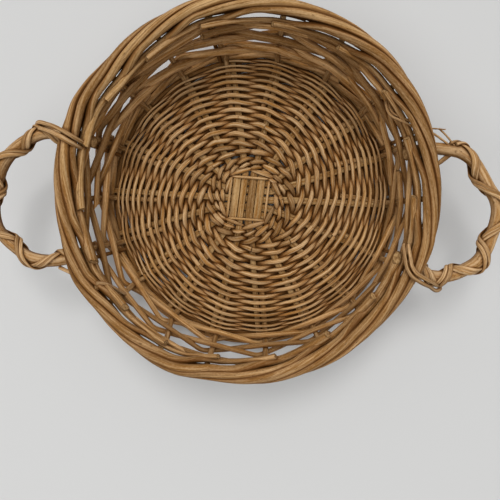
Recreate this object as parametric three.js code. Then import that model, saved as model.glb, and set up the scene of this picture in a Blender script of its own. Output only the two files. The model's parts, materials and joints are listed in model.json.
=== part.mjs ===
// Round shallow willow basket with an open-work side, a rolled border and two wound loop handles.
// It stands on its base with the mouth up: millimetres, +Z up, handles to +X and -X, origin under the base.
import * as THREE from 'three';

// Driving dimensions: base
const upperStickCount = 4;
const lowerStickCount = 5;
const stickSlathWidth = 7;
const stickSpokeWidth = 4.4;
const stickThickness = 3;
const stickSpacing = 7.8;
const slathSpread = 4.6;
const weaverWidth = 3;
const weaverThickness = 3;
const footRadius = 128;
const footRodThickness = 5;
const baseDome = 4;

// Driving dimensions: side and border
const stakeThickness = 4.4;
const stakeFootLength = 44;
const fitchRodThickness = 4.4;
const fitchRowCount = 3;
const rimRadius = 145;
const borderHeight = 76;
const borderRodThickness = 7;
const borderRodsAbreast = 5;
const borderStartTurn = -85;
const wallFootStep = 1.4;

// Driving dimensions: handles
const coreThickness = 9.2;
const handleReachRight = 201;
const handleReachLeft = 208;
const handleRise = 6;
const coreEndInside = 17;
const wrapWidth = 3.4;
const wrapThickness = 2.2;
const wrapTurns = 3.25;
const wrapPairAngle = 60;

// Clearances and facet counts
const fit = 0.3;
const wrapFit = 0.45;
const buttGap = 0.8;
const wrapStepsPerTurn = 12;
const borderStepsPerStake = 3;
const coreSides = 8;
const coreSteps = 32;
const rodSides = 5;

// Values that follow from the driving dimensions
const spokeCount = 2 * (upperStickCount + lowerStickCount);
const spokeStep = 360 / spokeCount;
const stakeRadius = stakeThickness / 2;
const stickHalfThickness = stickThickness / 2;
const fitchRadius = fitchRodThickness / 2;
const coreRadius = coreThickness / 2;
const borderRodRadius = borderRodThickness / 2;
const stakeOffset = stickSpokeWidth / 2 + fit + stakeRadius;
const baseEdgeHeight = footRodThickness + fit + stickHalfThickness;
const stakeFootStart = footRadius - stakeFootLength;
const slathHalfX = ((upperStickCount - 1) * stickSpacing + stickSlathWidth) / 2;
const slathHalfY = ((lowerStickCount - 1) * stickSpacing + stickSlathWidth) / 2;
const openRadius = Math.hypot(slathHalfX, slathHalfY) + slathSpread;

const willowPale = new THREE.MeshStandardMaterial({ color: 0xbb9a66, roughness: 0.62, metalness: 0 });
const willowHoney = new THREE.MeshStandardMaterial({ color: 0xb08c57, roughness: 0.6, metalness: 0 });
const willowTan = new THREE.MeshStandardMaterial({ color: 0xa37f4d, roughness: 0.6, metalness: 0 });
const willowWarm = new THREE.MeshStandardMaterial({ color: 0xb98f56, roughness: 0.55, metalness: 0 });

const basket = new THREE.Group();

const radians = (degrees) => THREE.MathUtils.degToRad(degrees);

// A point at a radius and an angle, moved sideways along the circle by an offset
function polar(radius, degrees, z, sideways = 0) {
  const angle = radians(degrees);
  const x = radius * Math.cos(angle) - sideways * Math.sin(angle);
  const y = radius * Math.sin(angle) + sideways * Math.cos(angle);
  return new THREE.Vector3(x, y, z);
}

// A rod's centre line through given points; facing turns its section, scales swell or thin it
class RodPath extends THREE.Curve {
  constructor(points, facing, scales) {
    super();
    this.points = points;
    this.facing = facing;
    this.scales = scales;
  }

  getPointAt(u, target = new THREE.Vector3()) {
    const index = Math.round(u * (this.points.length - 1));
    return target.copy(this.points[index]);
  }

  computeFrenetFrames() {
    const tangents = [];
    const normals = [];
    const binormals = [];
    const last = this.points.length - 1;
    let side = null;
    this.points.forEach((point, i) => {
      const before = this.points[Math.max(i - 1, 0)];
      const after = this.points[Math.min(i + 1, last)];
      const arriving = point.clone().sub(before).normalize();
      const leaving = after.clone().sub(point).normalize();
      const tangent = arriving.add(leaving).normalize();
      const wanted = this.facing(point, i) ?? side;
      const along = wanted.dot(tangent);
      side = wanted.clone().addScaledVector(tangent, -along).normalize();
      const [depthScale, widthScale] = this.scales(i);
      tangents.push(tangent);
      normals.push(side.clone().multiplyScalar(depthScale));
      binormals.push(tangent.clone().cross(side).multiplyScalar(widthScale));
    });
    return { tangents, normals, binormals };
  }
}

const facingUp = () => new THREE.Vector3(0, 0, 1);
const facingOut = (point) => new THREE.Vector3(point.x, point.y, 0).normalize();
const startsFacing = (direction) => (point, i) => (i === 0 ? direction : null);
const evenScale = () => [1, 1];

function addRod(name, section, points, facing, material, scales = evenScale) {
  const path = new RodPath(points, facing, scales);
  const settings = { steps: points.length - 1, extrudePath: path, bevelEnabled: false };
  const mesh = new THREE.Mesh(new THREE.ExtrudeGeometry(section, settings), material);
  mesh.name = name;
  basket.add(mesh);
}

// Sections: x is the rod's depth (along its facing), y is its width
function roundSection(radius, sides) {
  const corners = Array.from({ length: sides }, (_, i) => radians((360 * i) / sides));
  return new THREE.Shape(corners.map((a) => new THREE.Vector2(radius * Math.cos(a), radius * Math.sin(a))));
}

function diamondSection(depth, width) {
  const corners = [[depth / 2, 0], [0, width / 2], [-depth / 2, 0], [0, -width / 2]];
  return new THREE.Shape(corners.map(([x, y]) => new THREE.Vector2(x, y)));
}

// A split strand: flat against what it wraps and round outside
function splitSection(depth, width) {
  const corners = [[-depth / 2, width / 2], [-depth / 2, -width / 2], [0, -width / 2], [depth / 2, 0], [0, width / 2]];
  return new THREE.Shape(corners.map(([x, y]) => new THREE.Vector2(x, y)));
}

// Draws both ends of an almost closed ring back so that they butt with a gap
function openRing(points, gap) {
  const last = points.length - 1;
  const drawBack = (end, inner) => end.lerp(inner, gap / 2 / end.distanceTo(inner));
  drawBack(points[0], points[1]);
  drawBack(points[last], points[last - 1]);
  return points;
}

// The base: a slight dome, highest at the centre
const domeHeight = (radius) => baseEdgeHeight + baseDome * (1 - (radius / footRadius) ** 2);

// Base sticks: flat across the middle in two crossed layers, then spread like spokes in one layer
function addBaseStick(name, firstAngle, secondAngle, slathEnd, layer) {
  const layerShift = (layer * (stickThickness + fit)) / 2;
  const stickEnd = footRadius + stickHalfThickness;
  const spokeRadii = [stickEnd, (footRadius + openRadius) / 2, openRadius];
  const firstArm = spokeRadii.map((r) => polar(r, firstAngle, domeHeight(r)));
  const secondArm = spokeRadii.map((r) => polar(r, secondAngle, domeHeight(r))).reverse();
  const middle = [slathEnd(1), slathEnd(-1)].map(([x, y]) => {
    return new THREE.Vector3(x, y, domeHeight(0) + layerShift);
  });
  const points = [...firstArm, ...middle, ...secondArm];
  const isMiddle = (i) => i === firstArm.length || i === firstArm.length + 1;
  const scales = (i) => [1, isMiddle(i) ? stickSlathWidth / stickSpokeWidth : 1];
  addRod(name, stickSection(), points, facingUp, willowPale, scales);
}

// A stick's flat section with eased edges
function stickSection() {
  const [t, w] = [stickHalfThickness, stickSpokeWidth / 2];
  const corners = [[t, w / 2], [0, w], [-t, w / 2], [-t, -w / 2], [0, -w], [t, -w / 2]];
  return new THREE.Shape(corners.map(([x, y]) => new THREE.Vector2(x, y)));
}

function addBaseSticks() {
  for (let i = 0; i < lowerStickCount; i += 1) {
    const place = i - (lowerStickCount - 1) / 2;
    const angle = place * spokeStep;
    const slathEnd = (side) => [side * slathHalfX, place * stickSpacing];
    addBaseStick(`base_stick_lower_${i + 1}`, angle, 180 - angle, slathEnd, -1);
  }
  for (let i = 0; i < upperStickCount; i += 1) {
    const place = i - (upperStickCount - 1) / 2;
    const angle = 90 - place * spokeStep;
    const slathEnd = (side) => [place * stickSpacing, side * slathHalfY];
    addBaseStick(`base_stick_upper_${i + 1}`, angle, -angle, slathEnd, 1);
  }
}

// Base weave: two strands twined round every spoke in an outward spiral
const weaverCrossing = weaverWidth / 2 + fit;
const rowPitchLeast = 2 * (weaverCrossing + weaverWidth / 2) + fit;
const firstRowRadius = openRadius + weaverCrossing + weaverWidth / 2;
const lastRowRadius = footRadius - footRodThickness / 2 - fit - weaverCrossing - weaverWidth / 2;
const baseRows = Math.floor((lastRowRadius - firstRowRadius) / rowPitchLeast);
const baseRowPitch = (lastRowRadius - firstRowRadius) / baseRows;

// What a strand passes over at a spoke: the stick alone, or further out the stick and the stake foot
function spokeAt(radius) {
  const doubled = radius > stakeFootStart - weaverWidth;
  const sideways = doubled ? stakeRadius + fit / 2 : 0;
  const halfWidth = stickSpokeWidth / 2 + sideways;
  const halfDepth = doubled ? Math.max(stakeRadius, stickHalfThickness) : stickHalfThickness;
  return { sideways, halfWidth, halfDepth };
}

// How far a strand's centre rises over a spoke, so that it clears the spoke's edges on its way down
function weaverRise(radius) {
  const { halfWidth, halfDepth } = spokeAt(radius);
  const halfGap = radians(spokeStep / 2) * radius;
  return (halfDepth + fit + weaverThickness / 2) / (1 - halfWidth / halfGap);
}

function addBaseWeaver(name, firstSide, material) {
  const stepsPerTurn = 2 * spokeCount;
  const points = [];
  for (let i = 0; i <= baseRows * stepsPerTurn; i += 1) {
    const radius = firstRowRadius + (baseRowPitch * i) / stepsPerTurn;
    const atSpoke = i % 2 === 0;
    const side = firstSide * (Math.floor(i / 2) % 2 === 0 ? 1 : -1);
    const lift = atSpoke ? side * weaverRise(radius) : 0;
    const spread = atSpoke ? 0 : side * weaverCrossing;
    const angle = (-i * spokeStep) / 2;
    const shift = spokeAt(radius).sideways;
    points.push(polar(radius + spread, angle, domeHeight(radius) + lift, shift));
  }
  addRod(name, diamondSection(weaverThickness, weaverWidth), points, facingUp, material);
}

// Foot rod: the ring under the stake bends that the basket stands on, flat below
function addFootRod() {
  const points = [];
  for (let i = 0; i <= 2 * spokeCount; i += 1) {
    points.push(polar(footRadius, (i * spokeStep) / 2, footRodThickness / 2));
  }
  const half = footRodThickness / 2;
  const corners = [[-half, half / 2], [-half, -half / 2], [0, -half], [half, 0], [0, half]];
  const section = new THREE.Shape(corners.map(([x, y]) => new THREE.Vector2(x, y)));
  addRod('foot_rod', section, openRing(points, buttGap), facingUp, willowTan);
}

// The side: stakes lean out from the foot to the border
const borderTurnPerStake = 360 / borderRodsAbreast;
const borderStepTurn = borderTurnPerStake / borderStepsPerStake;
const abreastChord = 2 * Math.sin(radians(borderTurnPerStake / 2)) * Math.cos(radians(borderStepTurn / 2));
const borderCoil = (borderRodThickness + fit) / abreastChord;
const borderRadius = borderCoil + borderRodRadius;
const borderBottom = borderHeight - borderRadius;
const bendTop = baseEdgeHeight + 3 * stakeRadius;
const elbowThickness = (stakeThickness + borderRodThickness) / 2;
const elbowHeight = borderBottom + elbowThickness / 2;
const elbowLean = stakeRadius;

function wallRadius(z) {
  const lowest = footRadius + wallFootStep;
  return THREE.MathUtils.mapLinear(z, bendTop, borderHeight, lowest, rimRadius);
}

// Side stake: its foot lies beside a base stick, it bends up the wall and its top is rolled into the border
function addStake(index) {
  const angle = index * spokeStep;
  const points = [];
  const swell = [];
  const put = (point, thickness) => {
    points.push(point);
    swell.push(thickness / stakeThickness);
  };
  const bendStart = footRadius - 2 * stakeRadius;
  for (const radius of [stakeFootStart, (stakeFootStart + bendStart) / 2, bendStart]) {
    put(polar(radius, angle, domeHeight(radius), stakeOffset), stakeThickness);
  }
  const bendMiddle = (bendTop + baseEdgeHeight) / 2 - stakeRadius / 2;
  put(polar(footRadius, angle, bendMiddle, stakeOffset), stakeThickness);
  const uprightTop = borderBottom - borderRodThickness;
  for (const z of [bendTop, (bendTop + uprightTop) / 2, uprightTop]) {
    put(polar(wallRadius(z), angle, z, stakeOffset), stakeThickness);
  }
  put(polar(rimRadius + fit, angle, elbowHeight, stakeOffset + elbowLean), elbowThickness);
  const borderSteps = borderRodsAbreast * borderStepsPerStake - 1;
  for (let i = 1; i <= borderSteps; i += 1) {
    const turn = radians(borderStartTurn + i * borderStepTurn);
    const along = angle + (i * spokeStep) / borderStepsPerStake;
    const radius = rimRadius + borderCoil * Math.cos(turn);
    put(polar(radius, along, borderHeight + borderCoil * Math.sin(turn), stakeOffset), borderRodThickness);
  }
  const scales = (i) => [swell[i], swell[i]];
  const facing = startsFacing(new THREE.Vector3(0, 0, 1));
  addRod(`stake_${index + 1}`, roundSection(stakeRadius, rodSides), points, facing, willowHoney, scales);
}

// Fitching: rows of two rods that cross between the stakes, one inside and one outside each stake
const halfWallGap = radians(spokeStep / 2) * footRadius;
const fitchPass = stakeRadius + fitchRadius + fit;
const fitchRise = fitchPass / Math.cos(Math.atan(fitchPass / halfWallGap));
const crossingReach = fitchRadius + fit;
const fitchCrossing = (crossingReach * fitchRise) / Math.sqrt(fitchRise ** 2 - crossingReach ** 2);
const fitchHalfRow = fitchCrossing + fitchRadius;
const weaveTop = domeHeight(lastRowRadius) + weaverRise(lastRowRadius) + weaverThickness / 2;
const upsettHeight = weaveTop + fit + fitchRadius;
const coreHeight = borderBottom - fit - coreRadius;
const topFitchHeight = coreHeight - coreRadius - fit - fitchHalfRow;

function addFitchRod(name, height, firstSide, material) {
  const points = [];
  for (let i = 0; i <= 2 * spokeCount; i += 1) {
    const atStake = i % 2 === 0;
    const side = firstSide * (Math.floor(i / 2) % 2 === 0 ? 1 : -1);
    const z = atStake ? height : height + side * fitchCrossing;
    const radius = wallRadius(z) + (atStake ? side * fitchRise : 0);
    points.push(polar(radius, (i * spokeStep) / 2, z, stakeOffset));
  }
  const section = roundSection(fitchRadius, rodSides);
  addRod(name, section, openRing(points, buttGap), facingOut, material);
}

function addSideRows() {
  addFitchRod('upsett_rod_a', upsettHeight, 1, willowTan);
  addFitchRod('upsett_rod_b', upsettHeight, -1, willowTan);
  for (let row = 1; row <= fitchRowCount; row += 1) {
    const height = THREE.MathUtils.mapLinear(row, 0, fitchRowCount, upsettHeight, topFitchHeight);
    addFitchRod(`fitch_row_${row}_rod_a`, height, 1, willowHoney);
    addFitchRod(`fitch_row_${row}_rod_b`, height, -1, willowPale);
  }
}

// Handle: a thick rod bent to a loop, each end pushed in under the border beside a stake
const coreWallRadius = wallRadius(coreHeight);
const stakeSeat = coreRadius + stakeRadius + fit;
const asTurn = (distance) => THREE.MathUtils.radToDeg(distance / coreWallRadius);
const handleDropRight = asTurn(stakeSeat - stakeOffset);
const handleDropLeft = asTurn(stakeSeat + elbowLean / 2 + stakeOffset);

function handleCurve(reach) {
  const borderFace = rimRadius + borderRadius;
  const stations = [
    [rimRadius - coreEndInside, 1],
    [borderFace - coreRadius, 1],
    [THREE.MathUtils.lerp(borderFace, reach, 0.4), 0.94],
    [THREE.MathUtils.lerp(borderFace, reach, 0.8), 0.66],
    [reach, 0.22],
  ];
  const heightAt = (r) => coreHeight + handleRise * THREE.MathUtils.smoothstep(r, borderFace, reach);
  const upper = stations.map(([r, share]) => polar(r, share * spokeStep, heightAt(r)));
  const lower = stations.map(([r, share]) => polar(r, -share * spokeStep, heightAt(r))).reverse();
  const curve = new THREE.CatmullRomCurve3([...upper, ...lower]);
  curve.arcLengthDivisions = 2000;
  return curve;
}

// The share of a handle line at which it comes clear of the border
function wrapStartShare(line) {
  const clearRadius = rimRadius + borderRadius + wrapFit;
  let share = 0;
  while (Math.hypot(line.getPointAt(share).x, line.getPointAt(share).y) < clearRadius) {
    share += 0.001;
  }
  return share;
}

// Places a point made for the +X handle on either side, turned down between its two stakes
function placeOnSide(point, side) {
  const drop = side > 0 ? handleDropRight : handleDropLeft;
  point.applyAxisAngle(new THREE.Vector3(0, 0, 1), radians(-drop));
  point.x *= side;
  return point;
}

function addHandleCore(name, line, side) {
  const points = line.getSpacedPoints(coreSteps).map((point) => placeOnSide(point, side));
  addRod(name, roundSection(coreRadius, coreSides), points, facingUp, willowWarm);
}

// Wrap strand: one of a pair wound round the core; two pairs of opposite hand cross at the loop's edges
const wrapFacet = Math.cos(Math.PI / wrapStepsPerTurn);
const innerWrapRadius = (coreRadius + wrapFit + wrapThickness / 2) / wrapFacet;
const outerWrapRadius = (innerWrapRadius + wrapFit + wrapThickness) / wrapFacet;

function wrapPoints(line, hand, radius, phase, outward) {
  const start = wrapStartShare(line);
  const endRun = wrapWidth / line.getLength();
  const turnSteps = Math.round(wrapTurns * wrapStepsPerTurn);
  const shares = [start];
  for (let i = 0; i <= turnSteps; i += 1) {
    shares.push(THREE.MathUtils.mapLinear(i, 0, turnSteps, start + endRun, 1 - start - endRun));
  }
  shares.push(1 - start);
  return shares.map((share, i) => {
    const wound = THREE.MathUtils.clamp(i - 1, 0, turnSteps) / wrapStepsPerTurn;
    const turn = radians(phase) + hand * 2 * Math.PI * wound;
    const tangent = line.getTangentAt(share);
    const across = new THREE.Vector3(0, 0, 1).cross(tangent).normalize();
    const up = tangent.clone().cross(across);
    const spoke = up.multiplyScalar(Math.cos(turn)).addScaledVector(across, Math.sin(turn));
    outward.push(spoke.clone());
    return line.getPointAt(share).addScaledVector(spoke, radius);
  });
}

// Least distance between turns of one strand, less its width
function gapToItself(points) {
  const apart = wrapStepsPerTurn / 2;
  let least = Infinity;
  for (let i = 0; i < points.length; i += 1) {
    for (let j = i + apart; j < points.length; j += 1) {
      least = Math.min(least, points[i].distanceTo(points[j]));
    }
  }
  return least - wrapWidth;
}

function addWrapStrand(name, line, side, hand, radius, phase) {
  const outward = [];
  const points = wrapPoints(line, hand, radius, phase, outward).map((point) => placeOnSide(point, side));
  const spokes = outward.map((spoke) => placeOnSide(spoke, side));
  const section = splitSection(wrapThickness, wrapWidth);
  addRod(name, section, points, (point, i) => spokes[i], willowWarm);
  console.log(`${name}: least gap to itself ${gapToItself(points).toFixed(1)} mm`);
}

function addHandle(label, side, reach) {
  const line = handleCurve(reach);
  addHandleCore(`handle_core_${label}`, line, side);
  const half = wrapPairAngle / 2;
  const strands = [
    ['under_1', 1, innerWrapRadius, 90 - half],
    ['under_2', 1, innerWrapRadius, 90 + half],
    ['over_1', -1, outerWrapRadius, 90 - half],
    ['over_2', -1, outerWrapRadius, 90 + half],
  ];
  for (const [strand, hand, radius, phase] of strands) {
    addWrapStrand(`handle_wrap_${label}_${strand}`, line, side, hand, radius, phase);
  }
}

addBaseSticks();
addBaseWeaver('base_weaver_a', 1, willowHoney);
addBaseWeaver('base_weaver_b', -1, willowPale);
addFootRod();
for (let i = 0; i < spokeCount; i += 1) {
  addStake(i);
}
addSideRows();
addHandle('right', 1, handleReachRight);
addHandle('left', -1, handleReachLeft);

export default basket;
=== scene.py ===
import json
import math

import bpy
import numpy as np
from mathutils import Matrix, Vector
from mathutils.bvhtree import BVHTree

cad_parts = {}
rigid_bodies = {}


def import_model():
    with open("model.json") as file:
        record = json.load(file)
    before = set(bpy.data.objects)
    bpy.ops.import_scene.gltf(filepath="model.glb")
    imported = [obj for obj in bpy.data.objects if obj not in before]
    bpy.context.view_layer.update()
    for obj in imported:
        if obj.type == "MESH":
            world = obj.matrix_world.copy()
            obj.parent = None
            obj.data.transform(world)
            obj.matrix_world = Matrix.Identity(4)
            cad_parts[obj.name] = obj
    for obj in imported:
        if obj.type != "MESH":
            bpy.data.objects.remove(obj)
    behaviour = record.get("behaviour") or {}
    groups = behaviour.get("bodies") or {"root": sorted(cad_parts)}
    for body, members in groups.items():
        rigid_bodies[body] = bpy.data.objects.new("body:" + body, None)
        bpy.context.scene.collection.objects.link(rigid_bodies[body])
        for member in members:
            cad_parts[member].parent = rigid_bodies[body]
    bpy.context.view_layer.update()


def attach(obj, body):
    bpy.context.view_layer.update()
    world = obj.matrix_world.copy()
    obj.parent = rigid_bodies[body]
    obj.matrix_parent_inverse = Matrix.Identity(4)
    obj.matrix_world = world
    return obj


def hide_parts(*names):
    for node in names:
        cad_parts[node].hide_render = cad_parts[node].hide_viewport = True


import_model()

# Base sticks
# Nine split willow sticks, flat across the middle, where four cross over five in two layers.
# Outside the middle they spread like spokes in one layer, and the weave holds them there.
mm = 0.001
weaver_hand = np.random.default_rng(20)
base_radius, base_edge_height, base_dome = 128, 6.8, 4.0


def polar(radius, degrees, height):
    angle = np.radians(degrees)
    return np.stack(np.broadcast_arrays(radius * np.cos(angle), radius * np.sin(angle), height), -1)


def base_height(radius):
    return base_edge_height + base_dome * (1 - (np.asarray(radius) / base_radius) ** 2)


def smooth(share):
    return share * share * (3 - 2 * share)


def unit(vectors):
    return vectors / np.linalg.norm(vectors, axis=1)[:, None]


def along_line(line):
    return np.concatenate([[0], np.cumsum(np.linalg.norm(np.diff(line[:, :3], axis=0), axis=1))])


def bend_through(stations, step):
    """A smooth line through stations; columns after x, y, z, such as a thickness, go along."""
    stations = np.asarray(stations, float)
    place = along_line(stations)
    slope = np.gradient(stations, place, axis=0)
    along = np.linspace(0, place[-1], max(int(place[-1] / step), len(stations)) + 1)
    i = np.clip(np.searchsorted(place, along, side="right") - 1, 0, len(place) - 2)
    gap = (place[i + 1] - place[i])[:, None]
    x = (along - place[i])[:, None] / gap
    start = (2 * x**3 - 3 * x**2 + 1) * stations[i] + (x**3 - 2 * x**2 + x) * gap * slope[i]
    end = (3 * x**2 - 2 * x**3) * stations[i + 1] + (x**3 - x**2) * gap * slope[i + 1]
    return start + end


def unevenness(line, spacing, amount):
    """A smooth handmade variation along a line, about 1."""
    along = along_line(line)
    knots = weaver_hand.normal(0, amount, max(int(along[-1] / spacing), 2) + 2)
    place = along / spacing
    i = np.clip(place.astype(int), 0, len(knots) - 2)
    x = smooth(place - i)
    return 1 + knots[i] * (1 - x) + knots[i + 1] * x


flat_sides, flattest, sharpest = 6, 0.84, 1.12


def flats(turn):
    """How far the skin lies from the middle where shrinking has left a rod with a few flat sides."""
    uneven = weaver_hand.uniform(-0.3, 0.3, flat_sides)
    heading = 2 * np.pi * (np.arange(flat_sides) + uneven) / flat_sides
    heading += weaver_hand.uniform(0, 6)
    away = weaver_hand.uniform(flattest, 1.0, flat_sides)
    slope = np.cos(turn[:, None] - heading)
    return np.minimum(sharpest, np.min(away / np.clip(slope, 0.3, 1), axis=1))


flats_change_over = (14, 30)
bevel_length = 12.0
cut_slant, splinter_length = 0.5, 0.5
grain_supply = 40
tone_spread = 0.45
# Where the painted shade on a rod's back begins, and the limits of all painted shade on a rod.
back_shade_edge = 0.14
least_painted_shade, most_painted_shade = -0.5, 0.9


def rod(
    line, half_width, half_depth, facing, sides=14, square=2.0, frays=(0, 0), bevel=0.0,
    tone=None, soil=0.0, back_shade=0.0,
):
    """One willow rod swept along a line: its depth lies along facing, and its ends are cut.

    A bevel slopes the last cut so that it looks up.
    Painted shade can darken the whole rod, and painted back shade only the side away from facing."""
    line = np.asarray(line, float)[:, :3]
    count = len(line)
    tangent = unit(np.gradient(line, axis=0))
    out = np.broadcast_to(np.asarray(facing, float), (count, 3))
    out = unit(out - np.sum(out * tangent, axis=1)[:, None] * tangent)
    side = np.cross(tangent, out)
    along = along_line(line)
    turn = np.linspace(0, 2 * np.pi, sides, endpoint=False)
    deep = np.sign(np.cos(turn)) * np.abs(np.cos(turn)) ** (2 / square)
    wide = np.sign(np.sin(turn)) * np.abs(np.sin(turn)) ** (2 / square)
    swing = along / weaver_hand.uniform(*flats_change_over) + weaver_hand.uniform(0, 6)
    change = 0.5 + 0.5 * np.sin(swing)[:, None]
    ridges = flats(turn) * change + flats(turn) * (1 - change)
    depth = np.broadcast_to(half_depth, count)[:, None] * deep * ridges
    width = np.broadcast_to(half_width, count)[:, None] * wide * ridges
    rings = line[:, None] + out[:, None] * depth[..., None] + side[:, None] * width[..., None]
    for end, fray in zip((0, -1), frays):
        slant = weaver_hand.normal(0, cut_slant) * width[end]
        slant = slant + weaver_hand.normal(0, cut_slant) * depth[end]
        splinters = weaver_hand.uniform(-splinter_length, splinter_length, sides)
        splinters = splinters * np.atleast_1d(half_width)[end]
        rings[end] += tangent[end] * (fray * (slant + splinters))[:, None]
    slope = bevel * np.clip(1 - (along[-1] - along) / bevel_length, 0, 1)
    rings -= tangent[:, None] * (slope[:, None] * (rings - line[:, None])[..., 2])[..., None]
    place = along * mm + weaver_hand.uniform(0, grain_supply)
    fibre = np.stack(np.broadcast_arrays(np.cos(turn), np.sin(turn), place[:, None]), -1)
    ring = np.arange(count - 1)[:, None] * sides
    near, far = np.arange(sides), (np.arange(sides) + 1) % sides
    skin = np.stack([ring + near, ring + far, ring + far + sides, ring + near + sides], -1)
    body = count * sides
    ends = [[body + sides - 1 - j for j in range(sides)], [body + sides + j for j in range(sides)]]
    tone = weaver_hand.normal(0, tone_spread) if tone is None else tone
    # Painted shade on the rod's back, the side away from facing, added to the painted shade it is given.
    under = np.clip((0.5 - 0.5 * np.cos(turn) - back_shade_edge) / 0.5, 0, 1)
    shaded = np.broadcast_to(soil, count)[:, None] + np.broadcast_to(back_shade, count)[:, None] * under
    shaded = np.clip(shaded, least_painted_shade, most_painted_shade).ravel()
    return {
        "points": np.concatenate([rings.reshape(-1, 3), rings[0], rings[-1]]),
        "faces": skin.reshape(-1, 4).tolist() + ends,
        "fibre": np.concatenate([fibre.reshape(-1, 3), fibre[0], fibre[-1]]),
        "tone": np.full(body + 2 * sides, tone),
        "soil": np.concatenate([shaded, np.zeros(2 * sides)]),
        "cut": np.concatenate([np.zeros(body), np.ones(2 * sides)]),
    }


def make_piece(name, rods, material, nodes):
    """Joins swept rods to one piece of the basket, with their grain kept as attributes."""
    faces = []
    base = 0
    for one in rods:
        faces += [[corner + base for corner in face] for face in one["faces"]]
        base += len(one["points"])
    mesh = bpy.data.meshes.new(name)
    points = np.concatenate([one["points"] for one in rods]) * mm
    mesh.from_pydata(points.tolist(), [], faces)
    mesh.shade_smooth()
    fibre = mesh.attributes.new("fibre", "FLOAT_VECTOR", "POINT")
    fibre.data.foreach_set("vector", np.concatenate([one["fibre"] for one in rods]).ravel())
    for key in ("tone", "soil", "cut"):
        values = mesh.attributes.new(key, "FLOAT", "POINT")
        values.data.foreach_set("value", np.concatenate([one[key] for one in rods]))
    mesh.materials.append(material)
    piece = bpy.data.objects.new(name, mesh)
    bpy.context.collection.objects.link(piece)
    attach(piece, "root")
    if nodes:
        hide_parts(*nodes)


def add_node(tree, kind, **settings):
    """A shader node with its inputs or its settings given by name."""
    node = tree.nodes.new(kind)
    for key, value in settings.items():
        if key in node.inputs:
            node.inputs[key].default_value = value
        else:
            setattr(node, key, value)
    return node


willow_marks = {
    "aged": (0.150, 0.070, 0.019, 1),
    "paler": (0.56, 0.355, 0.150, 1),
    "check": (0.120, 0.052, 0.013, 1),
    "fleck": (0.080, 0.036, 0.010, 1),
    "dark_grit": (0.16, 0.075, 0.02, 1),
    "pale_grit": (0.70, 0.47, 0.26, 1),
    # The next two are painted shade: a tint and a dark brown put where the rods lie in shade.
    "soil_tint": (0.8, 0.52, 0.26, 1),
    "soil": (0.060, 0.022, 0.004, 1),
    "end_pale": (0.44, 0.27, 0.12, 1),
    "end_deep": (0.25, 0.135, 0.05, 1),
    "pith": (0.13, 0.06, 0.018, 1),
    "bark": (0.09, 0.04, 0.012, 1),
}
willow_sheen = 0.05
grain_strength, grain_depth = 0.5, 0.0008


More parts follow.
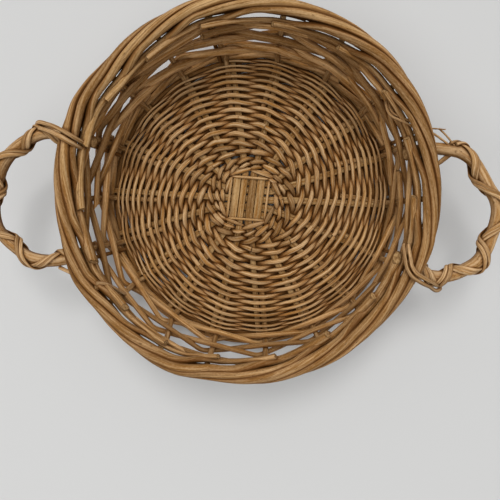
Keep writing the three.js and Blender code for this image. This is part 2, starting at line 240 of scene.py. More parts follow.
def make_willow_skin():
    """Peeled willow: long fibre streaks, blotches, flecks, painted shade in the hollows and cut ends."""
    skin = bpy.data.node_groups.new("willow_skin", "ShaderNodeTree")
    for socket in ("Pale", "Deep"):
        skin.interface.new_socket(socket, in_out="INPUT", socket_type="NodeSocketColor")
    skin.interface.new_socket("Color", in_out="OUTPUT", socket_type="NodeSocketColor")
    for socket in ("Roughness", "Height"):
        skin.interface.new_socket(socket, in_out="OUTPUT", socket_type="NodeSocketFloat")
    given = skin.nodes.new("NodeGroupInput")
    made = skin.nodes.new("NodeGroupOutput")
    fibre = add_node(skin, "ShaderNodeAttribute", attribute_name="fibre")

    def grain(stretch, detail):
        scaled = add_node(skin, "ShaderNodeVectorMath", operation="MULTIPLY")
        scaled.inputs[1].default_value = stretch
        skin.links.new(fibre.outputs["Vector"], scaled.inputs[0])
        noise = add_node(skin, "ShaderNodeTexNoise", Scale=1.0, Detail=detail, Roughness=0.55)
        skin.links.new(scaled.outputs["Vector"], noise.inputs["Vector"])
        return noise.outputs["Fac"]

    def between(value, low, high, bottom, top):
        ranged = add_node(skin, "ShaderNodeMapRange", interpolation_type="SMOOTHSTEP")
        limits = {"From Min": low, "From Max": high, "To Min": bottom, "To Max": top}
        for socket, number in limits.items():
            ranged.inputs[socket].default_value = number
        skin.links.new(value, ranged.inputs["Value"])
        return ranged.outputs["Result"]

    def blend(factor, first, second, kind="MIX"):
        mixed = add_node(skin, "ShaderNodeMix", data_type="RGBA", blend_type=kind)
        skin.links.new(factor, mixed.inputs["Factor"])
        for value, socket in ((first, mixed.inputs["A"]), (second, mixed.inputs["B"])):
            if isinstance(value, tuple):
                socket.default_value = value
            else:
                skin.links.new(value, socket)
        return mixed.outputs["Result"]

    def count(operation, first, second):
        sums = add_node(skin, "ShaderNodeMath", operation=operation)
        for value, socket in ((first, sums.inputs[0]), (second, sums.inputs[1])):
            if isinstance(value, float):
                socket.default_value = value
            else:
                skin.links.new(value, socket)
        return sums.outputs[0]

    streaks = grain((2.4, 2.4, 34.0), 3.0)
    blotches = grain((0.7, 0.7, 15.0), 2.0)
    flecks = grain((2.6, 2.6, 210.0), 1.0)
    checks = grain((5.5, 5.5, 22.0), 2.0)
    grit = grain((7.0, 7.0, 420.0), 2.0)
    tone = add_node(skin, "ShaderNodeAttribute", attribute_name="tone").outputs["Fac"]
    soil = add_node(skin, "ShaderNodeAttribute", attribute_name="soil").outputs["Fac"]
    cut = add_node(skin, "ShaderNodeAttribute", attribute_name="cut").outputs["Fac"]
    wood = blend(between(streaks, 0.38, 0.62, 0.0, 1.0), given.outputs["Pale"], given.outputs["Deep"])
    aged = count("SUBTRACT", blotches, count("MULTIPLY", tone, 0.22))
    wood = blend(between(aged, 0.36, 0.80, 0.0, 0.7), wood, willow_marks["aged"])
    wood = blend(between(aged, 0.12, 0.42, 0.34, 0.0), wood, willow_marks["paler"])
    wood = blend(between(checks, 0.56, 0.66, 0.0, 0.55), wood, willow_marks["check"])
    wood = blend(between(flecks, 0.66, 0.74, 0.0, 0.6), wood, willow_marks["fleck"])
    wood = blend(between(grit, 0.5, 0.7, 0.0, 0.35), wood, willow_marks["dark_grit"])
    wood = blend(between(grit, 0.3, 0.5, 0.2, 0.0), wood, willow_marks["pale_grit"])
    # Painted shade: the wood is tinted, then darkened, as far as the painted shade attribute goes.
    wood = blend(soil, wood, willow_marks["soil_tint"], "MULTIPLY")
    wood = blend(soil, wood, willow_marks["soil"])
    ends = between(streaks, 0.4, 0.6, 0.0, 1.0)
    ends = blend(ends, willow_marks["end_pale"], willow_marks["end_deep"])
    across = add_node(skin, "ShaderNodeVectorMath", operation="MULTIPLY")
    across.inputs[1].default_value = (1.0, 1.0, 0.0)
    skin.links.new(fibre.outputs["Vector"], across.inputs[0])
    from_pith = add_node(skin, "ShaderNodeVectorMath", operation="LENGTH")
    skin.links.new(across.outputs["Vector"], from_pith.inputs[0])
    from_pith = from_pith.outputs["Value"]
    ends = blend(between(from_pith, 0.08, 0.26, 0.7, 0.0), ends, willow_marks["pith"])
    ends = blend(between(from_pith, 0.68, 0.96, 0.0, 0.85), ends, willow_marks["bark"])
    wood = blend(cut, wood, ends)
    skin.links.new(wood, made.inputs["Color"])
    skin.links.new(between(streaks, 0.25, 0.75, 0.42, 0.66), made.inputs["Roughness"])
    relief = count("ADD", streaks, count("MULTIPLY", grit, 0.35))
    relief = count("SUBTRACT", relief, between(checks, 0.54, 0.66, 0.0, 0.5))
    skin.links.new(relief, made.inputs["Height"])
    return skin


willow_skin = make_willow_skin()


def make_willow(name, pale, deep):
    """One willow finish: the shared skin between its own pale and deep colours."""
    willow = bpy.data.materials.new(name)
    willow.use_nodes = True
    tree = willow.node_tree
    shader = tree.nodes["Principled BSDF"]
    skin = add_node(tree, "ShaderNodeGroup", node_tree=willow_skin, Pale=pale, Deep=deep)
    shader.inputs["Specular IOR Level"].default_value = willow_sheen
    bump = add_node(tree, "ShaderNodeBump", Strength=grain_strength, Distance=grain_depth)
    tree.links.new(skin.outputs["Color"], shader.inputs["Base Color"])
    tree.links.new(skin.outputs["Roughness"], shader.inputs["Roughness"])
    tree.links.new(skin.outputs["Height"], bump.inputs["Height"])
    tree.links.new(bump.outputs["Normal"], shader.inputs["Normal"])
    return willow


stick_willow = make_willow("stick_willow", (0.42, 0.26, 0.112, 1), (0.27, 0.122, 0.027, 1))
spoke_angles = np.array(
    [0.2, 19.7, 37.5, 57.5, 79.5, 99.5, 120.5, 140.5, 158.0]
    + [179.3, 197.8, 217.0, 236.5, 257.0, 277.0, 297.5, 317.5, 339.0]
)
spokes = len(spoke_angles)
window_lean, window_tilt = 0.075, -0.022
window_half_x, window_half_y = 17.5, 19.2
stick_layer = 1.6
stick_half_depth = 1.5
spoke_halves = ((130.5, 2.5), (112, 2.7), (85, 2.9), (58, 3.1), (36, 3.1))
facing_up = (0, 0, 1)


def in_window(x, y):
    """A place among the crossed sticks, which lean a little to one side in the base."""
    return x + window_lean * y, y + window_tilt * x


def stick_arm(spoke):
    """Stations from a spoke's outer end in towards the middle, with half widths."""
    arm = []
    for radius, half in spoke_halves:
        x, y, z = polar(radius, spoke_angles[spoke], base_height(radius))
        arm.append((x, y, z, half))
    return arm


def add_stick(name, ends, places, half, layer, node):
    """One stick from spoke end to spoke end, in the lower or the upper layer where they cross."""
    middle = [(*in_window(x, y), base_height(0) + layer * stick_layer, half) for x, y in places]
    stations = stick_arm(ends[0]) + middle + stick_arm(ends[1])[::-1]
    line = bend_through(stations, 2.5)
    half_width = line[:, 3] * unevenness(line, 30, 0.03)
    tone = weaver_hand.normal(0.0, 0.25)
    flat = {"sides": 16, "square": 3.2}
    stick = rod(line, half_width, stick_half_depth, facing_up, **flat, tone=tone, soil=-0.1, back_shade=0.25)
    make_piece(name, [stick], stick_willow, [node])


for i, place in enumerate((-15.2, -7.8, 0, 7.8, 15.2)):
    ends = ((i - 2) % spokes, (11 - i) % spokes)
    places = [(share * window_half_x, place) for share in (1.0, 0.8, 0.4, 0, -0.4, -0.8, -1.0)]
    add_stick(f"slath_stick_across_{i + 1}", ends, places, 3.4, -1, f"base_stick_lower_{i + 1}")
for i, (place, half) in enumerate(((-12.2, 3.35), (-5.3, 3.1), (2.6, 3.6), (10.0, 3.6))):
    places = [(place, share * window_half_y) for share in (1.05, 0.85, 0.4, 0, -0.4, -0.85, -1.05)]
    ends = (6 - i, 12 + i)
    add_stick(f"slath_stick_along_{i + 1}", ends, places, half, 1, f"base_stick_upper_{i + 1}")

# Base weave
# Two thin willow strands twined round every spoke, one over while the other goes under.
# They first bind the crossed sticks in groups, then run outwards in a spiral of leaf-shaped stitches.
weave_willow = make_willow("weave_willow", (0.59, 0.395, 0.21, 1), (0.36, 0.16, 0.034, 1))
row_turns = [-1.0, -0.5, 0, 0.5, 1, 1.5, 2, 3, 4, 5, 6, 7, 8, 9, 10, 11, 12, 13, 14.4]
row_radii = [27.4, 30.0, 32.6, 36.4, 40.3, 45.2, 48.8, 57, 65.5, 73.2]
row_radii += [80.2, 87, 93.6, 100, 106.2, 111.8, 117, 121.7, 126.6]
first_turn, last_turn = row_turns[0], row_turns[-1]
inner_turns, inner_pitch, outer_pitch = 1.5, 6.6, 4.2
stakes_begin, past_stake = 88, 1.3
slant_turns_at, slant_turns_over = 43.0, 1.2
strand_spread = 0.25
oval_turns, oval_depth = 2.5, 1.1
stitch_steps = 10
rise_over_spoke, sag_between = 3.5, 1.1
depth_share, depth_swell = 0.275, 0.047
width_share, width_swell, spread_under = 0.280, 0.032, 0.9
rod_passes = (9, 17)
spoke_ring = np.concatenate([spoke_angles, [spoke_angles[0] + 360]])


def weave_line(strand, first_spoke, passed):
    """Centre line of one strand from a spoke on, with its half width, its half depth and its painted
    shade.
    """
    steps = np.arange(passed * stitch_steps + 1) / stitch_steps + first_spoke
    turns = steps / spokes
    angle = np.interp(steps % spokes, np.arange(spokes + 1), spoke_ring)
    radius = np.interp(turns, row_turns, row_radii)
    pitch = np.interp(turns + 0.5, row_turns, row_radii) - np.interp(turns - 0.5, row_turns, row_radii)
    pitch = np.clip(pitch, np.where(turns < inner_turns, inner_pitch, outer_pitch), None)
    angle = angle + np.where(radius > stakes_begin, past_stake, 0.0)
    phase = np.pi * (steps + strand)
    slant = np.tanh((radius - slant_turns_at) / slant_turns_over)
    oval = np.clip(1 - turns / oval_turns, 0, 1)
    radius = radius - oval_depth * oval * np.cos(2 * np.radians(angle))
    radius = radius + slant * pitch * strand_spread * np.sin(phase)
    radius = radius + unevenness(polar(radius, angle, 0), 40, 0.4) - 1
    over = np.cos(phase)
    rise = rise_over_spoke * over * (1.2 - 0.2 * over**2)
    height = base_height(radius) + rise - sag_between * (1 - over**2)
    depth = pitch * (depth_share + depth_swell * over**2)
    half = pitch * (width_share + width_swell * over**2) * np.where(over < 0, 1 - spread_under * over, 1)
    # Painted shade where the strand goes under, down in the weave.
    soil = np.clip(0.25 - 0.5 * over, 0, 0.7)
    line = np.column_stack([polar(radius, angle, height), half, depth, soil])
    line[:, :2] += weaver_hand.normal(0, 0.1, (len(line), 2))
    return line


def weave_strand(strand):
    """All the rods of one strand: each is laid in where the last one ends, under a spoke."""
    rods = []
    spoke = int(first_turn * spokes) + strand
    last = int(last_turn * spokes) - 2
    while spoke < last:
        passed = min(2 * int(weaver_hand.integers(*rod_passes)), last - spoke)
        line = weave_line(strand, spoke, passed)
        thick = unevenness(line, 40, 0.05)
        width, depth, soil = line[:, 3] * thick, line[:, 4] * thick, line[:, 5]
        rods.append(rod(line, width, depth, facing_up, sides=12, soil=soil, back_shade=0.7))
        spoke += passed
    return rods


def sunken_painted_shade(line, level):
    """Painted shade on a strand where it goes down between the sticks."""
    return np.clip(0.1 - (line[:, 2] - level) * 0.14, 0, 0.7)


window_over, window_under = 3.6, -4.4
window_bends = ((-0.97, 0.1), (-0.78, 0.9), (0, 1.0), (0.78, 0.9), (0.97, 0.1))


def window_strand(strand):
    """A thin strand that lies straight over two sides of the window and under the other two."""
    halves = (window_half_x, window_half_y)
    stations = []
    for side in range(4):
        turned = math.radians(90 * side)
        reach, half_side = halves if side % 2 == 0 else halves[::-1]
        lift = window_over if side % 2 == strand else window_under
        for inset, share in window_bends:
            across = inset * half_side
            x = reach * math.cos(turned) - across * math.sin(turned)
            y = reach * math.sin(turned) + across * math.cos(turned)
            stations.append((*in_window(x, y), base_height(0) + lift * share))
    stations.append(stations[0])
    line = bend_through(stations, 1.4)
    soil = sunken_painted_shade(line, base_height(0))
    return rod(line, 1.25, 1.2, facing_up, sides=10, tone=0.9, soil=soil, back_shade=0.5)


binding_stitches = [
    ((-18.5, 21.0), (2.4, 28.0), 1.7),
    ((1.0, 26.6), (23.0, 20.2), 1.8),
    ((-21.4, -19.2), (-3.2, -25.2), 1.6),
    ((-4.2, -28.6), (16.6, -20.9), 1.9),
    ((-16.6, 18.8), (-20.9, 5.2), 2.0),
    ((-26.2, -3.2), (-19.9, -17.6), 1.9),
    ((20.6, 18.6), (29.6, 2.6), 1.8),
    ((23.9, -7.0), (16.5, -23.2), 1.8),
    ((-24.6, 7.6), (-23.2, -3.0), 1.6),
    ((25.3, 4.4), (27.2, -8.0), 1.9),
    ((-18.4, 24.4), (-24.4, 15.0), 1.9),
    ((12.6, 31.0), (27.0, 24.0), 2.2),
    ((-31.8, -15.0), (-21.6, -24.4), 2.2),
    ((20.2, -23.2), (8.0, -35.0), 2.0),
]
binding_bends = [(-0.12, -2.4, 0.45), (0.12, 1.6, 0.75), (0.5, 3.7, 1.0)]
binding_bends += [(0.88, 1.6, 0.75), (1.12, -2.4, 0.45)]
binding_radius, binding_lift, binding_fullness = 25, 0.5, 1.3


def binding_stitch(start, end, half):
    """One stitch of the second round: it comes up beside a group of sticks and goes down again."""
    level = base_height(binding_radius)
    stations = []
    for share, lift, size in binding_bends:
        x = start[0] + (end[0] - start[0]) * share
        y = start[1] + (end[1] - start[1]) * share
        stations.append((x, y, level + lift + binding_lift, half * size * binding_fullness))
    line = bend_through(stations, 1.2)
    soil = sunken_painted_shade(line, level)
    return rod(line, line[:, 3], line[:, 3] * 0.85, facing_up, sides=10, soil=soil, back_shade=0.7)


for strand, letter in enumerate("ab"):
    rods = weave_strand(strand)
    rods.append(window_strand(strand))
    rods += [binding_stitch(*stitch) for stitch in binding_stitches[strand::2]]
    make_piece(f"base_weave_{letter}", rods, weave_willow, [f"base_weaver_{letter}"])

# Foot rod
# One thick willow rod laid round under the spoke ends as a ring, so that the basket stands on it.
# The ends of the upsett rods are tucked in beside it.
foot_willow = make_willow("foot_willow", (0.3, 0.15, 0.046, 1), (0.2, 0.088, 0.02, 1))
foot_radius, foot_height = 128.0, 2.6
foot_half_width, foot_half_depth = 2.45, 2.3
foot_line = polar(foot_radius, np.linspace(4, 363, 181), foot_height)
foot_half = foot_half_width * unevenness(foot_line, 60, 0.02)
foot_ring = rod(foot_line, foot_half, foot_half_depth, facing_up, tone=-0.3, square=2.5, back_shade=0.4)
make_piece("foot_ring", [foot_ring], foot_willow, ["foot_rod"])

# Stakes and border
# Eighteen willow stakes, each pushed in beside a spoke and bent up to lean out as an upright.
# A thick rod carries each one on round the rim, over the others like a rope, to a cut end inside.
stake_willow = make_willow("stake_willow", (0.44, 0.268, 0.124, 1), (0.25, 0.115, 0.028, 1))
stake_angles = np.array(
    [1.0, 20.5, 39.6, 59.8, 81.0, 102.0, 121.3, 141.3, 161.0]
    + [182.4, 201.5, 219.7, 240.4, 259.9, 280.3, 300.0, 319.0, 338.6]
)
second_stakes = {1: 2.6, 5: 2.4, 8: 3.2, 10: 3.2, 17: 3.6}
stakes = len(stake_angles)
stake_leans = [0.4, 0.3, -0.5, 0.2, -0.4, 0.8, 0.0, -0.3, 0.5]
stake_leans += [0.6, -0.2, 0.7, 1.8, 0.3, 0.0, 0.2, -0.6, 0.5]
stake_half, second_half = 2.6, 1.9
foot_beside_spoke = 4.2
bend_radius, bend_height = 128.2, 9.2
lean_from, side_top = 20, 70
rim_height = 76.0
rim_angles = [0, 12, 30, 48, 66, 90, 108, 126, 141, 153, 166, 180]
rim_angles += [195, 210, 222, 237, 252, 262, 282, 297, 312, 327, 348, 360]
rim_radii = [147.8, 147.7, 149.4, 150.9, 148.8, 149.4, 150.4, 147.4, 146.2, 149.8, 148.6, 147.6]
rim_radii += [146.9, 149.2, 146.8, 149.0, 150.8, 146.2, 146.8, 145.0, 143.8, 145.2, 148.6, 147.8]
rope_places, rope_halves = [-8, 6, 60, 84, 100], [2.4, 3.2, 3.8, 3.8]
# The last of these is painted shade on each rope rod's side towards the rope's middle, faded where the
# rod dives in.
rope_variety, rope_flatness, rope_back_shade = 0.11, 0.86, 1.5
# Border rods on the side towards the daylight are painted paler, as painted light.
lit_side, painted_light = 50, 1.2
coil_radius, coil_variety = 4.9, 0.45
entry_turn, turn_per_degree = -110, 3.3
border_start, border_turns, border_dive, dive_length = -8.0, 5.0, 84.0, 20.0
butt_ends = [128, 148, 165.5, 187.5, 206.5, 226, 245, 264, 284.5]
butt_ends += [304.5, 325.5, 341, 362.5, 382, 399, 420, 443, 467]
butt_angles = [25, 107, 128, 210, 245, 285, 304, 341, 355]
butt_halves = [3.2, 3.0, 3.7, 4.1, 2.9, 2.9, 4.1, 4.4, 3.5]
butt_turn, butt_reach = 223.0, 10.5
end_turn, end_reach, end_bevel, end_fray = 194.0, 12.9, 0.35, 0.35
raised_butt, raised_turn, raised_reach, raised_bevel = 11, 188.0, 15.4, 1.3


def wall_radius(height):
    return np.interp(height, [0, 13.4, 56, side_top], [126.1, 129.4, 140.0, 144.6])


def upright_stations(k):
    """Stations of a stake, from its foot in the base weave up the side to the border."""
    foot = spoke_angles[k] + foot_beside_spoke
    stake = stake_angles[k]
    stations = []
    for radius, angle in ((85, foot), (105, (foot + stake) / 2), (121, stake)):
        stations.append(polar(radius, angle, base_height(radius)))
    stations.append(polar(bend_radius, stake, bend_height))
    for height in (16, 38, 60):
        angle = stake + stake_leans[k] * (height - lean_from) / lean_from
        stations.append(polar(wall_radius(height), angle, height))
    stations.append(polar(wall_radius(side_top), stake + 2 * stake_leans[k], side_top))
    return stations


def border_stations(k):
    """The rope part of a rod, with its half width, the way it faces out from the rope's middle and its
    painted back shade.
    """
    reach = coil_radius + weaver_hand.normal(0, coil_variety)
    end = butt_ends[k] - stake_angles[k]
    butt_half = np.interp(butt_ends[k] % 360, butt_angles, butt_halves)
    tip_turn, tip_reach = end_turn, end_reach
    if k == raised_butt:
        tip_turn, tip_reach = raised_turn, raised_reach
    stations = []
    for u in np.append(np.arange(border_start, end - 3, 4.0), end):
        turn = entry_turn + turn_per_degree * max(min(u, border_dive) - border_turns, 0)
        dive = smooth(np.clip((u - border_dive) / dive_length, 0, 1))
        rest = np.clip((u - border_dive - dive_length) / dive_length, 0, 1)
        turn = math.radians(turn + (butt_turn + (tip_turn - butt_turn) * rest - turn) * dive)
        away = reach + (butt_reach + (tip_reach - butt_reach) * rest - reach) * dive
        half = np.interp(u, rope_places, [*rope_halves, butt_half])
        angle = stake_angles[k] + u
        radius = np.interp(angle % 360, rim_angles, rim_radii)
        middle = polar(radius, angle, rim_height)
        place = polar(radius + away * math.cos(turn), angle, rim_height + away * math.sin(turn))
        stations.append((*place, half, *(place - middle), rope_back_shade * (1 - dive)))
    return stations


for k in range(stakes):
    upright = bend_through(upright_stations(k), 3.0)
    facing = facing_up + upright * (1, 1, 0) * mm
    half = stake_half * unevenness(upright, 30, 0.04)
    tone = weaver_hand.normal(0.1, 0.3)
    parts = [rod(upright, half, half * 0.9, facing, sides=10, tone=tone, soil=-0.35, back_shade=0.4)]
    if k in second_stakes:
        beside = stake_angles[k] + second_stakes[k]
        line = bend_through([polar(wall_radius(z), beside, z) for z in (9, 25, 45, side_top)], 3.0)
        parts.append(rod(line, second_half, second_half, line * (1, 1, 0), sides=10, back_shade=0.4))
    line = bend_through(border_stations(k), 3.0)
    half = line[:, 3] * unevenness(line, 45, 0.05) * weaver_hand.normal(1, rope_variety)
    depth, facing, back_shade = half * rope_flatness, line[:, 4:7], line[:, 7]
    bevel = raised_bevel if k == raised_butt else end_bevel
    # Painted light: a rod's tone is paler the nearer it lies to the lit side.
    paler = max(math.cos(math.radians(stake_angles[k] - lit_side)), 0)
    tone = weaver_hand.normal(0, tone_spread) + painted_light * paler
    rope = rod(line, half, depth, facing, frays=(0, end_fray), bevel=bevel, tone=tone, back_shade=back_shade)
    parts.append(rope)
    name = f"stake_and_border_rod_{k + 1}"
    make_piece(name, parts, stake_willow, [f"stake_{k + 1}"])

# Upsett
# Short thick willow rods that bind the foot of the side from outside, with one flat rod laid round them.
# Each starts high before a stake, slants down past that one and the next, and ends beside the foot ring.
upsett_willow = make_willow("upsett_willow", (0.65, 0.395, 0.182, 1), (0.40, 0.19, 0.05, 1))
upsett_course = [
    (-5, 133.0, 13.0, 2.4),
    (2, 132.4, 10.4, 3.4),
    (10, 130.6, 8.0, 4.4),
    (18, 130.8, 6.0, 4.4),
    (26, 132.4, 4.0, 3.2),
    (34, 133.6, 2.7, 2.2),
]
upsett_half_depth = 2.4
low_upsett = range(11, 17)
high_lift, high_width = 0.25, 1.15
round_radius, round_height = 135.4, 8.0
round_half_width, round_half_depth = 5.0, 1.8


def upsett_rod(k):
    """One short rod of the upsett; away from the basket's near side they lie higher and are wider."""
    stations = []
    for ahead, radius, height, half in upsett_course:
        if k not in low_upsett:
            height += high_lift * height
            half *= high_width
        x, y, z = polar(radius, stake_angles[k] + ahead, height + weaver_hand.normal(0, 0.2))
        stations.append((x, y, z, half))
    line = bend_through(stations, 2.5)
    half = line[:, 3] * unevenness(line, 30, 0.03)
    inward = line[:, :3] * (-1, -1, 0)
    return rod(line, half, upsett_half_depth, inward, sides=12, back_shade=0.25)


upsett_rods = [upsett_rod(k) for k in range(stakes)]
# The flat rod laid round behind the others gets painted shade.
behind = polar(round_radius, np.linspace(-40, 319, 181), round_height)
upsett_rods.append(rod(behind, round_half_width, round_half_depth, behind * (-1, -1, 0), soil=0.3))
make_piece("upsett", upsett_rods, upsett_willow, ["upsett_rod_a", "upsett_rod_b"])

# Fitching
# Rows of two willow rods that twist round each other between the stakes, one inside and one outside each.
# The side stays open between the rows. The lowest laps over its own start; the others are cut off inside.
fitch_willow = make_willow("fitch_willow", (0.64, 0.392, 0.182, 1), (0.39, 0.182, 0.046, 1))
fitch_rows = {
    1: {
        "inside": [29.5, 35, 38.6, 41, 36.5, 32.5, 35, 35.3, 30.3]
        + [30.9, 32.1, 27.4, 26.3, 22.3, 23.3, 23.8, 26.7, 24.9],
        "outside": [21.6, 27.9, 29.3, 26.2, 27.5, 26.6, 29.4, 28.5, 26.6]
        + [28, 28.8, 30.1, 27.7, 24.7, 19.3, 17, 18.6, 19],
        "dips": [12.8, 9.3, 4.3, 7.9, 8.2, 10.5, 10.6, 9.6, 7.2]
        + [9.7, 12.7, 15, 15, 14.7, 12.6, 11, 12, 12.5],
        "half": 2.75,
        "starts": (3, 8),
        "tails": (),
    },
    2: {
        "inside": [44.1, 53.7, 54.1, 54.3, 49.3, 48.4, 55, 51, 45.4]
        + [44, 49.7, 52, 47.5, 45.9, 40.9, 39.4, 45.1, 47.5],
        "outside": [38.4, 40.7, 46.1, 45.6, 48, 45.4, 41.6, 44.8, 44.4]
        + [44.3, 44.6, 50.9, 46, 43.6, 41.1, 37.2, 38.9, 36],
        "dips": [2.1, 4.3, 7.9, 6.9, 9, 6, 2.1, 7.2, 8.7, 5.8, 4.3, 10, 9.3, 10, 10, 7.6, 6.5, 3],
        "half": 2.55,
        "starts": (1, 10),
        "tails": (12, 5),
    },
    3: {
        "inside": [56.3, 66, 66, 66, 65, 60.3, 58.5, 65, 65, 55.9, 65, 66, 66, 66, 66, 66, 66, 66],
        "outside": [51, 50, 58, 58, 57, 56, 53, 51, 57, 57, 55, 58, 58, 58, 58, 58, 58, 56],
        "dips": [0, 0, 2, 2, 2, 2, 0, 0, 2, 2, 0, 2, 2, 2, 2, 2, 2, 3],
        "half": 2.4,
        "starts": (14, 5),
        "tails": (7, 7),
    },
}
fitch_angles = [20, 60, 150, 190, 235, 310, 350]
fitch_thickness = [1.0, 1.3, 1.3, 1.0, 0.92, 0.92, 1.0]
fitch_flatness, corner_ease = 0.75, 2
stake_clearance = 2.3
before_stake, before_shift = 3, 0.9
after_stake, after_shift = 5, 0.8
lap_length, lap_rise, lap_end_rise = 8, 5, 2
tail_shift = 0.75


def eased(values, reach):
    """Rounds the corners of a run of straight lengths."""
    weight = np.hanning(2 * reach + 3)[1:-1]
    return np.convolve(np.pad(values, reach, mode="edge"), weight / weight.sum(), mode="valid")


def fitch_rod(row, parity, first):
    """One rod of a row, from a stake that it passes outside once round to a cut end.

    It runs nearly straight from inside one stake to outside the next and drops behind that one.
    A row with tails ends inside, this many degrees on, and one without laps over its own start."""
    shape = fitch_rows[row]
    half = shape["half"]
    passing = stake_clearance + half
    stations = []
    for step in range(stakes):
        k = (first + step) % stakes
        angle = stake_angles[k] + 360 * ((first + step) // stakes)
        if k % 2 == parity:
            stations.append((angle, shape["inside"][k], -passing))
        else:
            low = shape["outside"][k] - shape["dips"][k]
            stations.append((angle - before_stake, shape["outside"][k], before_shift * passing))
            stations.append((angle + after_stake, low, after_shift * passing))
    angle, height, shift = stations[-1]
    following = stations[0]
    if shape["tails"]:
        tail = shape["tails"][parity]
        share = tail / (following[0] + 360 - angle)
        height += (following[1] - height) * share
        stations.append((angle + tail, height, shift * tail_shift))
    else:
        angle, height = following[:2]
        stations.append((angle + 360, height + lap_rise, before_shift * passing))
        stations.append((angle + (360 + lap_length), height + lap_end_rise, after_shift * passing))
    turns, heights, shifts = np.array(stations).T
    corners = polar(wall_radius(heights) + shifts, turns, heights)
    angle = np.arange(turns[0], turns[-1], 1.0)
    line = np.column_stack([eased(np.interp(angle, turns, corner), corner_ease) for corner in corners.T])
    inward = polar(-1.0, angle, 0.4)
    thick = half * np.linspace(1.06, 0.94, len(line)) * unevenness(line, 45, 0.05)
    thick = thick * np.interp(angle % 360, fitch_angles, fitch_thickness)
    return rod(line, thick, thick * fitch_flatness, inward, square=3.0, frays=(0, 1.0), back_shade=0.4)


for row in fitch_rows:
    for parity, letter in enumerate("ab"):
        first = fitch_rows[row]["starts"][parity]
        first += (first + parity + 1) % 2
        node = f"fitch_row_{row}_rod_{letter}"
        rods = [fitch_rod(row, parity, first)]
        make_piece(f"fitching_{row}_{letter}", rods, fitch_willow, [node])

# Handles
# A thick willow rod bent to a loop at each side, its ends pushed in under the border beside a stake.
# Two pairs of split strands are wound round it in opposite directions and cross at the loop's edges.
handle_willow = make_willow("handle_willow", (0.52, 0.335, 0.172, 1), (0.33, 0.165, 0.052, 1))
wrap_willow = make_willow("wrap_willow", (0.60, 0.40, 0.215, 1), (0.37, 0.19, 0.064, 1))
core_half = 5.0
handle_height = 61.5
loop_from, loop_length, loop_lift = 150, 50, 6
inside_from, inside_length, inside_lift = 145, 15, 6
wrap_half_width, wrap_half_depth, wrap_clearance = 2.0, 1.15, 1.0
wrap_step, bare_end = 1.2, 16
wrap_pairs = (("under", 1, 0.0), ("over", -1, 2.1))
wrap_shifts = ((1, -2.2), (2, 2.2))
handles = {
    "right": {
        "loop": [(128, 39.5), (151, 45.5), (162.7, 44.6), (171.3, 42.6), (180, 37.1), (188.2, 25.9)]
        + [(193.8, 16.6), (200, 7.4), (202.4, 0.4), (202.2, -10.7), (199.2, -22.5), (195, -35.8)]
        + [(190, -43.6), (181.5, -50), (170.4, -55.7), (161, -57.4), (145, -54.5)]
        + [(132, -48.5), (126.8, -45.6)],
        "last_rise": -5.0,
        "edges": [21.5, 48.6, 80.6, 106.4, 124, 145.7, 158],
        "first_inside": 22.0,
        "bare": 37.0,
    },
    "left": {
        "loop": [(-127, 38.5), (-150, 44.4), (-160, 45), (-172.4, 44), (-181.1, 40), (-192.1, 32.1)]
        + [(-199.8, 24.3), (-206.4, 13.4), (-209.7, -0.3), (-211.7, -13.1), (-211.6, -24.2)]
        + [(-207.9, -36.7), (-201, -45.1), (-190.6, -53.3), (-181.5, -59.4), (-170.2, -62.2)]
        + [(-158.9, -61.9), (-148.9, -59.8), (-127, -51)],
        "last_rise": 0.0,
        "edges": [24.4, 43, 69, 88.4, 112, 141.2, 162, 186.4],
        "first_inside": 24.0,
        "bare": 16.0,
    },
}


def handle_line(loop, last_rise):
    """Middle of a handle's core: it rises a little out along the loop, and inside the border."""
    stations = []
    for x, y in loop:
        reach = smooth(np.clip((math.hypot(x, y) - loop_from) / loop_length, 0, 1))
        inside = np.clip((inside_from - math.hypot(x, y)) / inside_length, 0, 1)
        stations.append((x, y, handle_height + loop_lift * reach + inside_lift * inside))
    x, y, z = stations[-1]
    stations[-1] = (x, y, z + last_rise)
    return bend_through(stations, 1.5)


def wrap_line(line, shape, hand, shift, crossing):
    """A strand wound round the core: outside the loop at one station, inside it at the next."""
    along = along_line(line)
    stations = np.array(shape["edges"]) + shape["first_inside"]
    first = 2 * stations[0] - stations[1]
    last = 2 * stations[-1] - stations[-2]
    stations = np.concatenate([[first], stations, [last]])
    start, end = max(first, shape["bare"]), min(last, along[-1] - bare_end)
    place = np.arange(start + shift, end + shift, wrap_step)
    turn = np.pi * (np.interp(place - shift, stations, np.arange(len(stations))) - 1)
    middle = np.column_stack([np.interp(place, along, line[:, axis]) for axis in range(3)])
    tangent = unit(np.gradient(middle, axis=0))
    front = np.array(facing_up, float)
    outer = np.cross(tangent, front)
    outer *= np.sign(np.sum(outer * middle * (1, 1, 0), axis=1))[:, None]
    spoke = outer * np.cos(turn)[:, None] + front * (hand * np.sin(turn))[:, None]
    away = core_half + wrap_clearance + crossing * np.abs(np.cos(turn)) ** 4
    return middle + spoke * away[:, None], spoke


for label, shape in handles.items():
    line = handle_line(shape["loop"], shape["last_rise"])
    half = core_half * unevenness(line, 50, 0.03)
    core = rod(line, half, half, facing_up, sides=18, tone=0.2, back_shade=0.4)
    make_piece(f"handle_rod_{label}", [core], handle_willow, [f"handle_core_{label}"])
    for pair, hand, crossing in wrap_pairs:
        for number, shift in wrap_shifts:
            points, spoke = wrap_line(line, shape, hand, shift, crossing)
            width = wrap_half_width * unevenness(points, 25, 0.08)
            strand = rod(points, width, wrap_half_depth, spoke, sides=10, back_shade=0.7)
            name = f"handle_binding_{label}_{pair}_{number}"
            node = f"handle_wrap_{label}_{pair}_{number}"
            make_piece(name, [strand], wrap_willow, [node])

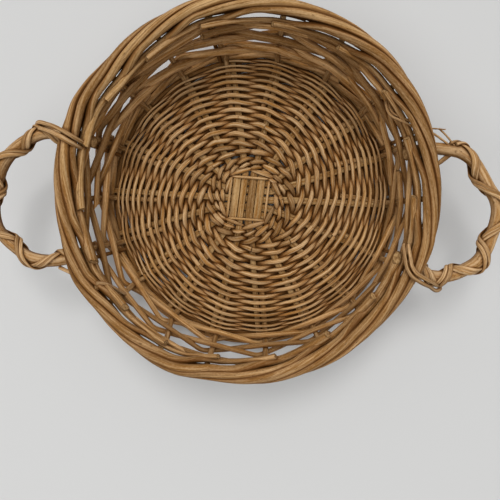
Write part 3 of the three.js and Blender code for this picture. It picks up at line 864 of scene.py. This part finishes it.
# Handle ties
# The ends of the wound strands, taken over the border or behind it and tucked in among the side's rods.
tie_paths = {
    "left": [
        ([(-179, 49.6, 61), (-174, 50.6, 68), (-163, 48.2, 76), (-153, 45, 83), (-144, 41, 86)]
         + [(-138.5, 38, 84), (-135, 35.8, 78.5), (-133.6, 34.8, 72)], 2, 2.2),
        ([(-157, -68, 61), (-148, -71.5, 62), (-139, -75.2, 63), (-128, -78, 62)], 1, 1.9),
        ([(-117, -79, 80), (-112, -80.5, 72), (-107, -85, 63), (-102, -90, 55)], 2, 1.9),
    ],
    "right": [
        ([(165.5, -65, 58), (161.5, -66.5, 65), (153, -62.8, 76), (143.5, -58.6, 84.5)]
         + [(136.6, -54.6, 86.5), (133, -48.8, 85), (131.9, -42.4, 83)]
         + [(131.2, -36.4, 80), (131, -31.4, 77)], 2, 1.9),
        ([(163, 40.6, 63), (153.8, 33, 64), (144, 28, 62)], 1, 1.9),
        ([(131, 61, 74), (128.6, 63.2, 72), (121.1, 66.8, 70), (114.2, 70.8, 68)]
         + [(111.7, 76, 67), (110.8, 80.9, 66)], 2, 1.2),
        ([(138, 59, 72), (146, 59.6, 72), (156, 59.2, 72)], 1, 0.8),
        ([(139, 60, 69), (147, 57, 68), (160, 49.6, 66)], 1, 1.1),
        ([(152, 60, 70), (156.5, 56.4, 69.4), (165, 48.6, 67)], 1, 0.9),
    ],
}


tie_depth, tie_spacing, tie_taper = 1.1, 2.15, 0.75


def tie_strands(points, number, half_width):
    """Strands that lie side by side along one path and get thinner towards its end."""
    line = bend_through(points, 1.5)
    tangent = unit(np.gradient(line, axis=0))
    beside = unit(np.cross(tangent, np.array(facing_up, float)))
    facing = np.cross(beside, tangent)
    strands = []
    for i in range(number):
        middle = line + beside * ((i - (number - 1) / 2) * tie_spacing * half_width)
        width = half_width * unevenness(line, 20, 0.08) * np.linspace(1.0, tie_taper, len(line))
        depth = min(tie_depth, half_width)
        strands.append(rod(middle, width, depth, facing, sides=10, frays=(0.5, 1.5), back_shade=0.6))
    return strands


for label, paths in tie_paths.items():
    strands = [strand for path in paths for strand in tie_strands(*path)]
    make_piece(f"handle_ties_{label}", strands, wrap_willow, [])

# Crevices
# Painted shade where the rods lie close together and shade falls, so this is added once all are laid.
# Short feelers from each point of a rod find how close the rods around it are.
crevice_painted_shade = {"slath_stick": 0.2, "base_weave": 0.62, "fitching": 0.4, "upsett": 0.2, "stake": 0.68}
other_crevice_painted_shade = 0.55
feeler_count, feeler_start, feeler_length = 5, 0.0003, 0.006
feeler_tilt = math.radians(55)
open_nearness, nearness_range = 0.4, 2.4
darkest = 0.92


def feelers(normals):
    """Directions out from each point: one straight out and the others tilted around it."""
    helper = np.where(np.abs(normals[:, 2:]) < 0.8, (0.0, 0.0, 1.0), (1.0, 0.0, 0.0))
    sideways = unit(np.cross(normals, helper))
    across = np.cross(normals, sideways)
    directions = [normals]
    for step in range(feeler_count):
        around = 2 * math.pi * step / feeler_count
        tilted = sideways * math.cos(around) + across * math.sin(around)
        directions.append(normals * math.cos(feeler_tilt) + tilted * math.sin(feeler_tilt))
    return directions


def darken_crevices(pieces):
    """Adds painted shade at each point of the pieces by how much its feelers meet close by."""
    points, faces = [], []
    for piece in pieces:
        start = len(points)
        points += [tuple(point.co) for point in piece.data.vertices]
        faces += [[corner + start for corner in face.vertices] for face in piece.data.polygons]
    laid = BVHTree.FromPolygons(points, faces)
    for piece in pieces:
        mesh = piece.data
        count = len(mesh.vertices)
        places, normals, soil = np.empty(count * 3), np.empty(count * 3), np.empty(count)
        mesh.vertices.foreach_get("co", places)
        mesh.vertex_normals.foreach_get("vector", normals)
        mesh.attributes["soil"].data.foreach_get("value", soil)
        normals = normals.reshape(-1, 3)
        places = places.reshape(-1, 3) + normals * feeler_start
        near = np.zeros(count)
        for directions in feelers(normals):
            for i in range(count):
                distance = laid.ray_cast(places[i], directions[i], feeler_length)[3]
                if distance is not None:
                    near[i] += 1 - distance / feeler_length
        named = [most for start, most in crevice_painted_shade.items() if piece.name.startswith(start)]
        most = named[0] if named else other_crevice_painted_shade
        closed = np.clip((near - open_nearness) / nearness_range, 0, 1)
        soil = np.clip(soil + most * closed, 0, darkest)
        mesh.attributes["soil"].data.foreach_set("value", soil)


laid_pieces = [piece for piece in bpy.context.scene.objects if piece.data]
darken_crevices([piece for piece in laid_pieces if "soil" in piece.data.attributes])

# Floor, light and camera
# A pale matt floor under the basket, a broad lamp overhead and two windows' daylight from its far side.
# The room is brighter on that side too, and the view is from above, into the basket.
bpy.ops.mesh.primitive_plane_add(size=8)
floor = bpy.context.object
floor.name = "floor"
floor_paint = bpy.data.materials.new("floor_paint")
floor_paint.use_nodes = True
floor_shader = floor_paint.node_tree.nodes["Principled BSDF"]
floor_shader.inputs["Base Color"].default_value = (0.55, 0.55, 0.545, 1)
floor_shader.inputs["Roughness"].default_value = 0.9
floor.data.materials.append(floor_paint)

world = bpy.data.worlds.new("room")
bpy.context.scene.world = world
world.use_nodes = True
sky = world.node_tree.nodes["Background"]
sky.inputs["Color"].default_value = (1.0, 1.0, 1.0, 1)
heading = add_node(world.node_tree, "ShaderNodeTexCoord")
axes = add_node(world.node_tree, "ShaderNodeSeparateXYZ")
shade = add_node(world.node_tree, "ShaderNodeMapRange")
near_side, far_side = 0.2, 0.68
room_light = {"From Min": -1.0, "From Max": 1.0, "To Min": near_side, "To Max": far_side}
for socket, number in room_light.items():
    shade.inputs[socket].default_value = number
world.node_tree.links.new(heading.outputs["Generated"], axes.inputs["Vector"])
world.node_tree.links.new(axes.outputs["Y"], shade.inputs["Value"])
world.node_tree.links.new(shade.outputs["Result"], sky.inputs["Strength"])

lamp_place, lamp_aim = (-0.2, -0.25, 1.45), (0, 0, 0.03)
bpy.ops.object.light_add(type="AREA", location=lamp_place)
lamp = bpy.context.object
lamp.name = "ceiling_lamp"
lamp.data.size = 1.4
lamp.data.energy = 10
lamp.rotation_mode = "QUATERNION"
lamp.rotation_quaternion = (Vector(lamp_place) - Vector(lamp_aim)).to_track_quat("Z", "Y")


def add_daylight(name, lean, width, power):
    """Soft light from a window on the far side, leaning so many degrees from straight above."""
    bpy.ops.object.light_add(type="SUN", location=(0, 1, 1))
    window = bpy.context.object
    window.name = name
    window.data.energy = power
    window.data.angle = math.radians(width)
    window.rotation_euler = (math.radians(-lean), 0, 0)


add_daylight("high_window", 30, 25, 1.4)
add_daylight("low_window", 62, 60, 0.15)

bpy.ops.object.camera_add()
camera = bpy.context.object
camera.name = "photo_camera"
camera.data.sensor_width = 36
camera.data.lens = 36
right = (0.99643, 0.04991, -0.06802)
up = (-0.05452, 0.99621, -0.06782)
back = (0.06438, 0.07128, 0.99538)
turned = Matrix((right, up, back)).transposed().to_4x4()
turned.translation = (0.03416, -0.01441, 0.47807)
camera.matrix_world = turned
bpy.context.scene.camera = camera
bpy.context.scene.view_settings.view_transform = "Standard"
